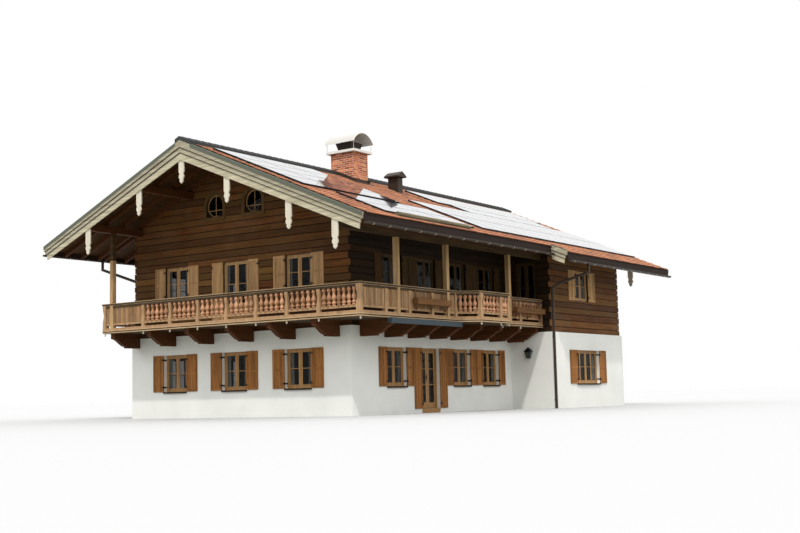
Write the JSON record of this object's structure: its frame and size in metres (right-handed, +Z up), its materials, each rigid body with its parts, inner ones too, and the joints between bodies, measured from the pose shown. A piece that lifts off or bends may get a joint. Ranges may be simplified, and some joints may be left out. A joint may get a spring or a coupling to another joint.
{
  "type": "alpine chalet",
  "caption": "Two-storey alpine farmhouse with plastered ground floor, log upper floor, carved balcony, wide tiled roof and opening terrace door.",
  "frame": {"origin": "centre of the base, on the ground", "axes": "+Z up, -Y towards the front gable, +X towards the terrace side"},
  "size_m": [14.89, 20.42, 10.28],
  "materials": {
    "concrete": "rough concrete",
    "plaster": "white lime plaster, matt",
    "log_wood": "weathered squared logs, matt",
    "floor_wood": "planed boards, matt",
    "frame_wood": "stained wood, satin",
    "shutter_wood": "orange-brown stained wood, satin",
    "upper_shutter_wood": "pale weathered wood, matt",
    "dark_wood": "dark stained beams, matt",
    "box_wood": "brown stained boards, matt",
    "rail_wood": "weathered turned wood, matt",
    "verge_wood": "grey-beige weathered boards, matt",
    "carved_wood": "pale painted boards, matt",
    "window_glass": "clear double glazing",
    "roof_tile": "orange-red clay tiles, matt",
    "ridge_metal": "dark grey coated sheet",
    "gutter_metal": "dark brown coated sheet, satin",
    "solar_cell": "toughened glass over dark cells",
    "brick": "orange-red brick with pale mortar",
    "cap_stone": "pale cast slab",
    "zinc_sheet": "zinc-grey sheet, satin",
    "awning_metal": "grey-blue coated case",
    "lantern_metal": "black coated iron"
  },
  "bodies": {
    "house": {"ground_slab": "concrete", "front_wall": "plaster", "terrace_wall": "plaster", "terrace_lintel": "plaster", "return_wall": "plaster", "wing_wall": "plaster", "rear_wall": "plaster", "left_wall": "plaster", "upper_floor": "floor_wood", "log_gable_front": "log_wood", "log_wall_terrace": "log_wood", "log_wall_return": "log_wood", "log_wall_wing": "log_wood", "log_gable_rear": "log_wood", "log_wall_left": "log_wood", "attic_floor": "floor_wood", "ground_window_frames": "frame_wood", "ground_window_glass": "window_glass", "ground_shutters": "shutter_wood", "window_sills": "dark_wood", "upper_window_frames": "frame_wood", "upper_window_glass": "window_glass", "upper_shutters": "upper_shutter_wood", "terrace_door_frame": "frame_wood", "balcony_beams": "dark_wood", "balcony_deck": "rail_wood", "balcony_rails": "rail_wood", "balcony_balusters": "rail_wood", "balcony_panels": "rail_wood", "balcony_posts": "log_wood", "purlins": "dark_wood", "rafters": "dark_wood", "roof_left": "roof_tile", "roof_right": "roof_tile", "fascia_boards": "dark_wood", "verge_boards": "verge_wood", "pendant_boards": "carved_wood", "verge_caps": "gutter_metal", "ridge_cap": "ridge_metal", "gutters": "gutter_metal", "downpipes": "gutter_metal", "solar_panels": "solar_cell", "chimney_stack": "brick", "chimney_slab": "cap_stone", "chimney_hood": "zinc_sheet", "roof_vent": "gutter_metal", "snow_guard": "verge_wood", "post_drops": "rail_wood", "flower_boxes": "box_wood", "awning_cassette": "awning_metal", "wall_lantern": "lantern_metal"},
    "door_front": {"door_leaf_front": "frame_wood", "door_glass_front": "window_glass"},
    "door_rear": {"door_leaf_rear": "frame_wood", "door_glass_rear": "window_glass"}
  },
  "joints": [
    {"name": "door_front_hinge", "type": "hinge", "parent": "house", "child": "door_front", "pos_m": [4.1447, -3.922, 0.356], "axis": [0, 0, 1], "range_deg": [0, 90]},
    {"name": "door_rear_hinge", "type": "hinge", "parent": "house", "child": "door_rear", "pos_m": [4.1447, -2.948, 0.356], "axis": [0, 0, -1], "range_deg": [0, 90]}
  ]
}
